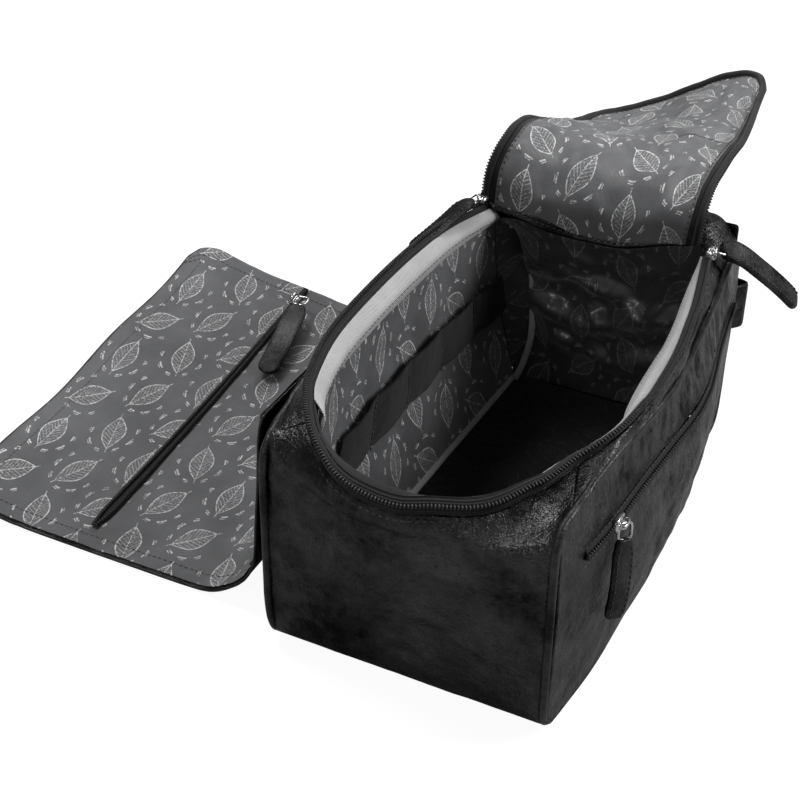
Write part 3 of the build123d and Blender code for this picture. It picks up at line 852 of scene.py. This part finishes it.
# Lid, a patch between its foot and three free sides
lid_left = [
    (-66, 92, 131), (-65.5, 93, 138), (-65.1, 94, 147), (-64.3, 97, 155), (-62.5, 103, 163),
    (-61, 112, 167.5), (-61, 124, 168), (-62.5, 140, 163), (-65, 165, 150), (-66.5, 195, 135),
    (-67.5, 225, 122), (-67.3, 248, 114),
]
lid_right = [
    (52, 104, 131.5), (53, 104.5, 144), (52.8, 111, 151.5), (52.2, 123, 156.8), (52.4, 145, 160.4),
    (51.9, 170, 159.3), (48.2, 200, 155.5), (41.4, 240, 150.6), (36.2, 270, 147.7),
]
lid_end = [
    (-67.3, 248, 114), (-64.4, 266, 111.2), (-55.6, 280, 110.2), (-44.4, 287, 111.8), (-32.3, 292, 116.9),
    (-20.3, 295, 123), (-7.8, 296, 130.9), (4.7, 296, 138.5), (13.6, 295, 142.8), (20.5, 294, 145.2),
    (25.4, 292, 146.2), (29.5, 288, 147), (32.5, 281, 147.6), (36.2, 270, 147.7),
]
lid_long, lid_half = 235.0, 62.0
lid_sides = [spline(points, 400) for points in (lid_left, lid_right, lid_end)]
lid_foot = spline([
    (-66, 92, 131), (-45, 96.5, 127.5), (-27, 99.5, 123.5), (0, 101.5, 122.5), (18, 103, 124),
    (38, 104.5, 128), (52, 104, 131.5),
], 400)


def along_curve(curve, fraction):
    """Points of a sampled curve at fractions of its length."""
    at = np.clip(fraction, 0, 1) * (len(curve) - 1)
    low = np.minimum(at.astype(int), len(curve) - 2)
    return curve[low] + (curve[low + 1] - curve[low]) * (at - low)[..., None]


def lid_point(u, t):
    """A point of the lid: u from -1 to 1 across it, t from 0 at the hinge to 1."""
    left, right, end = (along_curve(c, f) for c, f in zip(lid_sides, (t, t, (u + 1) / 2)))
    foot = along_curve(lid_foot, (u + 1) / 2)
    w, k = ((u + 1) / 2)[..., None], t[..., None]
    # Two ways across the patch, less the flat one between its corners
    root, tip = ((1 - w) * np.array(lid_left[at]) + w * np.array(lid_right[at]) for at in (0, -1))
    flat = (1 - k) * root + k * tip
    point = (1 - w) * left + w * right + (1 - k) * foot + k * end - flat
    belly = np.sin(np.pi * w[..., 0])
    point[..., 2] += belly * (4.0 * np.exp(-((t - 0.22) / 0.12) ** 2) - 3.0 * np.exp(-((t - 0.6) / 0.2) ** 2))
    point[..., 1] -= 3.0 * belly * np.exp(-((t - 0.12) / 0.1) ** 2)
    ripple = np.array([
        noise.fractal(Vector((a * 2.2, b * 5, 9.1)), 0.6, 2.0, 3) for a, b in zip(u.ravel(), t.ravel())
    ])
    rim = np.clip((1 - np.abs(u)) * 4, 0.25, 1) * np.clip((1 - t) * 8, 0.25, 1) * np.clip(t * 12, 0, 1)
    point[..., 2] += 3.2 * ripple.reshape(u.shape) * rim
    return point


def lid_patch(margin, low, high, rows=70, columns=40):
    """A grid inside the lid's outline by the margin, from t = low to t = high."""
    u = np.linspace(-1, 1, rows) * (1 - margin / lid_half)
    t = np.linspace(low, min(high, 1 - margin / lid_long), columns)
    u, t = np.meshgrid(u, t, indexing="ij")
    return lid_point(u, t), np.stack([u * lid_half + 200, t * lid_long + 200], -1)


def lid_rim(margin, low, high, count=140):
    """The part of the lid's outline, inset by the margin, with t between low and high."""
    edge, top = 1 - margin / lid_half, 1 - margin / lid_long
    side = np.linspace(low, min(high, top), count)
    runs = [(-edge * np.ones(count), side)]
    if high >= 1:
        runs.append((np.linspace(-edge, edge, count)[1:-1], np.full(count - 2, top)))
        runs.append((edge * np.ones(count), side[::-1]))
        u, t = (np.concatenate([run[k] for run in runs]) for k in (0, 1))
        return [lid_point(u, t)]
    return [lid_point(runs[0][0], side), lid_point(-runs[0][0], side)[::-1]]


def lid_up(path):
    """Upward directions for a path on the lid, square to it."""
    tangent = unit(np.gradient(path, axis=0))
    lean = np.clip((path[:, 1:2] - 95) / 30, 0, 1)
    up = (1 - lean) * np.array((0, -1.0, 0.25)) + lean * np.array((0, -0.1, 1.0))
    return unit(up - (up * tangent).sum(1, keepdims=True) * tangent)


def grid_up(grid):
    normal = normals_of(grid)
    return normal if normal[len(normal) // 2, -1, 2] > 0 else -normal


lid_split = 0.40
for word, low, high, bodies, bend in (
    ("near", 0.0, lid_split, ("lid_root", "lid_mid"), ((0, 0.100, 0.150), (0, 0.124, 0.166))),
    ("far", lid_split, 1.0, ("lid_mid", "lid_tip"), ((0, 0.172, 0.157), (0, 0.204, 0.150))),
):
    pieces = []
    outer, _ = lid_patch(0, low, high)
    back = surface(f"lid_leather_{word}", outer - grid_up(outer) * 1.2, leather, None, 1.2)
    inner, flat_uv = lid_patch(6.5, low, high)
    skin = surface(f"lid_lining_{word}", inner + grid_up(inner) * 0.9, lining_grey, None, 0.5, flat_uv)
    for k, (edge, inset) in enumerate(zip(lid_rim(0, low, high), lid_rim(7.5, low, high))):
        up = lid_up(edge)
        band = between(edge + up * 0.5, inset + up * 0.9, 5)
        pieces.append(surface(f"lid_tape_{word}_{k}", band, tape_black, None, 0.8))
        teeth = edge + unit(edge - inset) * 0.5 + up * 0.5
        pieces.append(coil_row(f"lid_coil_{word}_{k}", teeth, up, None, 1.7, (0.5, 0.95, 0.6)))
        rolled = edge * 0.8 + inset * 0.2 + up * 0.6
        f = np.linspace(0, 1, len(rolled))
        swell = 1.5 * np.clip(f / 0.12, 0, 1) * np.clip((0.75 - f) / 0.2, 0, 1) * (word == "far")
        pieces.append(tube(f"lid_roll_{word}_{k}", rolled, 2.0 + swell, tape_black, None, up))
    for k, path in enumerate(lid_rim(8.6, low, high)):
        up = lid_up(path)
        pieces.append(stitch_row(f"lid_stitch_{word}_{k}", path + up * 1.5, up, None))
    for piece in (back, skin, *pieces):
        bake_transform(piece)
    for piece, grid in ((back, outer), (skin, inner)):
        wide, long, area = cut_size(grid)
    parts = ("root", "mid") if word == "near" else ("tip",)
    zips = ("mid_left", "mid_right") if word == "near" else ("tip",)
    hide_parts(*[f"lid_leather_{part}" for part in parts])
    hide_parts(*[f"lid_lining_{part}" for part in parts])
    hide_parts(*[f"lid_zip_{part}" for part in zips])
tube("hinge_roll", hinge_line + (0, -0.5, 1.5), 1.6, leather_edge, "bag")
stitch_row("stitch_hinge_a", hinge_line + (0, -1.2, 3.4), (0, -0.6, 0.6), "bag")


# Flap
near_profile = [
    (-79, 123), (-81, 117), (-82.3, 108), (-83, 97), (-84, 80), (-86, 57), (-88, 34), (-94, 20), (-103, 11),
    (-115, 4), (-130, 2.4), (-160, 2.2), (-200, 2.2), (-235, 3), (-262, 8), (-273, 13),
]
far_profile = [
    (-72, 123), (-75.5, 118), (-79, 110), (-81, 95), (-83, 75), (-85, 55), (-88, 38), (-94, 27), (-104, 19),
    (-118, 15), (-135, 14), (-165, 18), (-200, 24), (-235, 30), (-262, 36), (-271, 39),
]
near_curve, far_curve = spline(near_profile, 300), spline(far_profile, 300)
flap_long = length_of(near_curve)
flap_low, flap_high, flap_round = -121.0, 128.0, 17.0
root_y = np.r_[low_line[:left_end, 1][::-1], 135.0]
root_x = np.r_[low_line[:left_end, 0][::-1], -65.2] - 3.0


def flap_point(along, y):
    """A point of the flap: distance from its root and place along the bag."""
    near, far = (along_curve(curve, along / flap_long) for curve in (near_curve, far_curve))
    w = (np.clip((y - flap_low) / (flap_high - flap_low), 0, 1) ** 1.5)[..., None]
    flat = near * (1 - w) + far * w
    wave = 1.6 * np.sin(y / 17.0) * np.clip((along - 240) / 50, 0, 1)
    wave = wave + 1.0 * np.sin(along / 23.0) * np.clip((y - 90) / 40, 0, 1)
    lift = flat[..., 1] + wave * (flat[..., 1] > 3)
    hug = np.clip(1 - along / 30, 0, 1) ** 2
    x = flat[..., 0] * (1 - hug) + np.minimum(flat[..., 0], np.interp(y, root_y, root_x)) * hug
    return np.stack([x, y + 0 * x, lift], -1)


def flap_grid(rows=100, columns=90, shrink=0.0):
    """The whole flap with its outer corners rounded, smaller all round by shrink."""
    u = np.linspace(0, 1, columns)
    along = (flap_long - shrink) * np.linspace(0, 1, rows)
    over = np.clip(along - (flap_long - shrink - flap_round), 0, None)
    pull = flap_round - np.sqrt(np.clip(flap_round ** 2 - over ** 2, 0, None)) + shrink
    y = (flap_low + pull)[:, None] * (1 - u)[None] + (flap_high - pull)[:, None] * u[None]
    a = np.broadcast_to(along[:, None], y.shape)
    return flap_point(a, y), np.stack([a, y + 200], -1)


def flap_face(grid):
    """Normals of a flap grid on its lined side, which faces up where it lies on the floor."""
    normal = normals_of(grid)
    return normal if normal[60, 40, 2] > 0 else -normal


flap_outer_grid, _ = flap_grid()
leather_grid = flap_outer_grid - flap_face(flap_outer_grid) * 0.4
flap_back = surface("flap_leather_soft", leather_grid, leather, None, 1.4)
flap_inner_grid, flap_uv = flap_grid(shrink=0.7)
flap_inner_grid = ruffle(flap_inner_grid + flap_face(flap_inner_grid) * 0.9, 0.5, 16, 101)
flap_skin = surface("flap_lining_soft", flap_inner_grid, lining_grey, None, 0.5, flap_uv)
flap_rim = np.vstack([flap_outer_grid[:, 0], flap_outer_grid[-1, 1:-1], flap_outer_grid[:, -1][::-1]])
flap_rim = resample(flap_rim, 400) - (0, 0, 1.0)
flap_edge = tube("flap_edge", flap_rim, 0.8, leather_edge, None, (0.2, 0.1, 1))
inner_rim = np.vstack([flap_inner_grid[2:, 3], flap_inner_grid[-4, 4:-4], flap_inner_grid[2:, -4][::-1]])
inner_rim = resample(inner_rim, 400) + (0, 0, 0.5)
flap_stitch = stitch_row("flap_stitch", inner_rim, (0.1, 0.1, 1), None, thread_grey)


def flap_slit(name, along, low, high, wide, zipped, count=120):
    """A slit between two taped edges, widest near its near end, with a black sheet just under them as painted
    shadow inside the opening.
    """
    y = np.linspace(low, high, count)
    t = np.linspace(0, 1, count)
    open_by = wide * np.sqrt(np.clip(t / 0.06, 0.1, 1)) * (1 - 0.8 * t)
    left, right = (flap_point(along + way * open_by / 2, y) + (0, 0, 2.5) for way in (-1, 1))
    # Painted shadow: a black sheet half a millimetre under the edges fills the opening
    inside = between(left, right, 6)
    inside[:, 1:-1, 2] -= 0.5
    made = [surface(name + "_gap", inside, tape_black, None, 0.3, smooth=False)]
    for edge, word, way in ((left, "a", 1), (right, "b", -1)):
        outer = flap_point(along - way * (open_by / 2 + 1.2), y) + (0, 0, 1.9)
        edge = edge + (0, 0, 0.5)
        band = between(edge, outer, 4)
        made.append(surface(f"{name}_tape_{word}", band, tape_black, None, 0.5, smooth=False))
        if zipped:
            made.append(coil_row(f"{name}_coil_{word}", edge, (0, 0, 1), None))
    return made


def along_to(x):
    """The distance from the flap's root to where its near edge reaches x."""
    return length_of(near_curve[: int(np.argmin(np.abs(near_curve[:, 0] - x))) + 1])


zip_along, slit_along = along_to(-195), along_to(-98)
flap_zip = flap_slit("flap_pocket", zip_along, -106, 124, 5.0, True)
slip = flap_slit("flap_slip", slit_along, -108, 70, 3.0, False)
for piece in (flap_back, flap_skin, flap_edge, flap_stitch, *flap_zip, *slip):
    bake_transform(piece)
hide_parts("flap_leather_root", "flap_leather_outer")
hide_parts("flap_lining_root", "flap_lining_outer")
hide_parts("flap_welt_inner", "flap_welt_outer", "flap_zip_inner", "flap_zip_outer")
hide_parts("flap_slip_binding")


# Leather zip pullers
def puller_node(word):
    """The body of a puller, which also starts its nodes' names."""
    return f"puller_{word}" if word in ("right", "left") else f"{word}_puller"


def leather_puller(name, path, face, body, node, wide, thick):
    """A rounded tab with a narrow folded end, along a path from its ring."""
    rows, n = 40, 24
    path = spline(path, rows)
    _, side, up = frames_along(path, face)
    long = length_of(path)
    s = np.linspace(0, long, rows)
    neck = np.clip(s / 9, 0, 1)
    half = (wide / 2) * (0.72 + 0.28 * neck * neck * (3 - 2 * neck))
    tip = np.clip((s - (long - wide * 0.55)) / (wide * 0.55), 0, 1)
    half = half * np.sqrt(np.clip(1 - tip ** 2.4, 0.0, 1))
    start = np.clip(s / 1.8, 0, 1)
    half = np.maximum(half * (0.6 + 0.4 * np.sqrt(start)), 0.35)
    height = thick / 2 * (1.0 + 0.35 * np.exp(-(s / 6) ** 2)) * np.clip(np.sqrt(1 - tip ** 6), 0.15, 1)
    angle = np.linspace(0, 2 * np.pi, n, endpoint=False)
    flat, tall = rounder(np.cos(angle), 0.45)[None, :, None], rounder(np.sin(angle), 0.7)[None, :, None]
    ring = half[:, None, None] * flat * side[:, None] + height[:, None, None] * tall * up[:, None]
    made = add(name, (path[:, None] + ring).reshape(-1, 3), tube_faces(rows, n), leather_tab, body)
    smooth_once(made)
    inset = np.clip(half - 1.9, 0.2, None)[:, None]
    keep = slice(5, 38)
    for word, way in (("a", 1), ("b", -1)):
        line = path + side * inset * way + up * (height[:, None] + 0.1)
        stitch_row(f"{name}_stitch_{word}", line[keep], up[keep].mean(0), body, thread, 2.6, 0.85, 0.28)
    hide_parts(node)


def wire_ring(name, centre, along, across, body, node, long, wide, wire):
    """A rounded rectangular link of bent wire."""
    along, across = unit(np.array((along, across), float))
    angle = np.linspace(0, 2 * np.pi, 48)
    path = np.asarray(centre)
    for turn, axis, size in ((np.cos(angle), along, long), (np.sin(angle), across, wide)):
        path = path + rounder(turn, 0.55)[:, None] * axis * size / 2
    made = tube(name, path, wire, metal, body, np.cross(along, across) + 0.01, sides=8)
    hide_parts(node)


for word, path, face, size in (
    ("right", [(66.8, 95, 137), (75, 102.3, 132.5), (84.8, 111, 121.5), (94, 119.6, 109.8), (103, 128, 97)],
     (0.5, -0.25, 0.85), (14.2, 3.6)),
    ("left", [(-69, 84, 137), (-71, 78, 136.5), (-74, 66, 133.5), (-77.5, 53, 130.5), (-81, 38, 128)],
     (-0.35, 0.0, 1), (13.5, 3.0)),
    ("pocket", [(84.6, -86.5, 86), (85.4, -88, 80), (86.6, -91, 69), (87.0, -94, 58), (86.4, -97, 46.5)],
     (0.85, -0.5, 0.05), (12.5, 3.0)),
    ("flap", [(-186, 99, 30), (-184.5, 92, 29), (-181.5, 76, 26), (-178.5, 58, 22.5), (-176, 41, 18.5)],
     (0.1, -0.1, 1), (13.5, 3.0)),
):
    node = puller_node(word)
    leather_puller(f"puller_{word}_leather", path, face, node, f"{node}_tab", *size)
for word, centre, along, across, size in (
    ("right", (66.2, 93.8, 136.6), (0.66, 0.6, -0.35), (-0.6, 0.7, 0), (7.5, 6.5, 0.6)),
    ("left", (-67.5, 88.5, 137.2), (-0.25, -0.95, -0.05), (0.9, -0.2, 0.2), (7.5, 6.5, 0.6)),
    ("pocket", (84.2, -85.2, 89.0), (0.1, -0.25, -1), (0.5, 0.85, -0.2), (8.0, 8.0, 0.75)),
    ("flap", (-187.5, 104, 30.5), (0.15, -1, 0.0), (1, 0.1, 0), (9.0, 8.4, 0.75)),
):
    node = puller_node(word)
    wire_ring(f"ring_{word}", centre, along, across, node, f"{node}_ring", *size)

# Pocket zip in the right wall
pocket_y = np.linspace(-113, 119, 160)


def pocket_line(out, up):
    """A line along the pocket's zip, outside the wall and above the zip's middle."""
    x = wall_x(pocket_y, pocket_height, 1) + out
    return np.stack([x, pocket_y, np.full(len(pocket_y), pocket_height + up)], -1)


for sign, word, node in ((1, "high", "pocket_zip_upper"), (-1, "low", "pocket_zip_lower")):
    edge = pocket_line(2.4, sign * 0.7)
    band = between(edge, pocket_line(1.0, sign * 3.6), 4)
    made = surface(f"pocket_tape_{word}", band, tape_black, "bag", 0.5, smooth=False)
    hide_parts(node)
    coil_row(f"pocket_coil_{word}", edge + (0.5, 0, 0), (1, 0, 0), "bag", 1.9, (0.6, 1.1, 1.2))
    stitch_row(f"pocket_stitch_{word}", pocket_line(2.0, sign * 5.4), (1, 0, 0), "bag")

# Handle, a strap that stands off the far end
strap_half, strap_z = [(68.5, 150.5), (66.5, 143), (58, 138.2), (44, 137.9)], 76
strap_points = strap_half[::-1] + [(40, 151.5), (0, 152), (-40, 151.5)] + [(-x, y) for x, y in strap_half]
strap = spline([(x, y, strap_z) for x, y in strap_points], 120)
handle_grid = np.stack([strap + (0, 0, dz) for dz in np.linspace(-14, 14, 9)], 1)
handle = surface("handle_strap", handle_grid, leather, "bag", 2.8)
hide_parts("carry_handle")
for dz, word in ((-11.5, "low"), (11.5, "high")):
    stitch_row(f"handle_stitch_{word}", strap[8:-8] + (0, 1.5, dz), (0, 1, 0), "bag")


# Sliders
def zip_slider(name, centre, along, face, node, scale):
    """A rounded slider with a bridge that carries the puller's ring."""
    along, face = unit(np.array((along, face), float))
    across = np.cross(face, along)
    half_long = 5.4 * scale
    shell, faces = bead_shape((half_long, 3.7 * scale, 1.9 * scale), 10, 20, 0.5)
    shell[:, 1] *= 1 - 0.28 * np.clip(-shell[:, 0] / half_long, 0, 1) ** 1.5
    verts = centre + shell[:, :1] * along + shell[:, 1:2] * across + shell[:, 2:] * face
    made = add(name, verts, faces, metal, node)
    arch = [(-4.2, 1.4), (-3.8, 3.2), (-1.6, 4.1), (1.6, 4.1), (3.6, 3.3), (4.0, 1.4)]
    path = spline([centre + (a * along + b * face) * scale for a, b in arch], 30)
    tube(name + "_bridge", path, 0.75 * scale, metal, node, across, 1.5, 10)
    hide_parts(node)


for word, centre, along, face, node, scale in (
    ("right", (62.8, 91, 135.8), (0.11, -0.99, 0), (0.75, 0.1, 0.65), "slider_right", 0.85),
    ("left", (-64.6, 91, 135.8), (-0.1, -0.99, 0), (-0.6, 0, 0.8), "slider_left", 0.85),
    ("pocket", (80.6, -84, 92), (0.05, -1, 0), (1, 0, 0.15), "pocket_slider", 1.0),
    ("flap", (-194, 108, 27.5), (0, 1, 0), (0, -0.1, 1), "flap_slider", 0.9),
):
    zip_slider(f"slider_{word}_metal", centre, along, face, node, scale)

# Sheets of the body and the flap, with what each lies on
for name, grid, held, under_it in (
    ("lining_left", left_lining, "stretched", "panel_left"),
    ("lining_far", far_lining, "hung", "gusset_far_soft"),
    ("lining_corner", side_gap, "stretched", "gusset_far_soft"),
    ("lining_right", right_lining, "stretched", "panel_right_low"),
    ("lining_near", near_lining, "stretched", "gusset_near_soft"),
    ("lining_bottom", floor_grid, "laid", "base_soft"),
    ("flap_lining_soft", flap_inner_grid, "hung", "flap_leather_soft"),
    ("flap_leather_soft", flap_outer_grid, "hung", "panel_left"),
):
    wide, long, area = cut_size(grid)

# Leather for the CAD nodes that stay
for name in ("handle_patch_left", "handle_patch_right", "pocket_end_near", "pocket_end_far"):
    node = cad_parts[name]
    node.data.materials.clear()
    node.data.materials.append(leather)
    bevel = node.modifiers.new("edges", "BEVEL")
    bevel.width, bevel.segments = 0.0003, 2


# Stage
def seen_white(tree, plain, bright):
    """White as the camera sees it, and the plain shader for every other ray."""
    path, mix = tree.nodes.new("ShaderNodeLightPath"), tree.nodes.new("ShaderNodeMixShader")
    tree.links.new(path.outputs["Is Camera Ray"], mix.inputs["Fac"])
    tree.links.new(plain, mix.inputs[1])
    tree.links.new(bright, mix.inputs[2])
    return mix.outputs[0]


def make_stage():
    white = Shader("backdrop", 0.9)
    white.principled.inputs["Base Color"].default_value = (0.46, 0.46, 0.47, 1)
    glow = white.node("ShaderNodeEmission", Strength=0.94)
    lit = white.node("ShaderNodeBsdfDiffuse", Color=(0.2, 0.2, 0.2, 1))
    both = white.node("ShaderNodeAddShader")
    white.link(glow.outputs[0], both.inputs[0])
    white.link(lit.outputs[0], both.inputs[1])
    output = white.tree.nodes["Material Output"]
    seen = seen_white(white.tree, white.principled.outputs[0], both.outputs[0])
    white.link(seen, output.inputs["Surface"])
    mesh = bpy.data.meshes.new("floor")
    half, level = 4, -0.0005
    corners = [(x * half, y * half, level) for x, y in ((-1, -1), (1, -1), (1, 1), (-1, 1))]
    mesh.from_pydata(corners, [], [(0, 1, 2, 3)])
    mesh.materials.append(white.material)
    floor = bpy.data.objects.new("floor", mesh)
    scene.collection.objects.link(floor)
    world = bpy.data.worlds.new("studio")
    scene.world = world
    world.use_nodes = True
    tree = world.node_tree
    dim, clear = tree.nodes["Background"], tree.nodes.new("ShaderNodeBackground")
    for back, strength in ((dim, 0.14), (clear, 1.0)):
        back.inputs["Color"].default_value = (1, 1, 1, 1)
        back.inputs["Strength"].default_value = strength
    seen = seen_white(tree, dim.outputs[0], clear.outputs[0])
    tree.links.new(seen, tree.nodes["World Output"].inputs["Surface"])
    for name, place, aim, size, power in (
        ("key", (1.05, 0.6, 0.95), (0, 0, 0.08), 0.5, 17),
        ("left", (-0.7, 0.1, 1.4), (-0.1, 0, 0.04), 0.5, 11),
        ("front", (-0.3, -1.5, 0.9), (0, 0, 0.06), 0.35, 3),
        ("back", (-0.4, 1.3, 1.1), (0, 0, 0.1), 0.5, 6),
    ):
        data = bpy.data.lights.new(name, "AREA")
        data.size, data.energy = size, power
        lamp = bpy.data.objects.new(name, data)
        lamp.location = place
        lamp.rotation_euler = (Vector(aim) - Vector(place)).to_track_quat("-Z", "Y").to_euler()
        scene.collection.objects.link(lamp)


make_stage()
scene.view_settings.view_transform = "Standard"
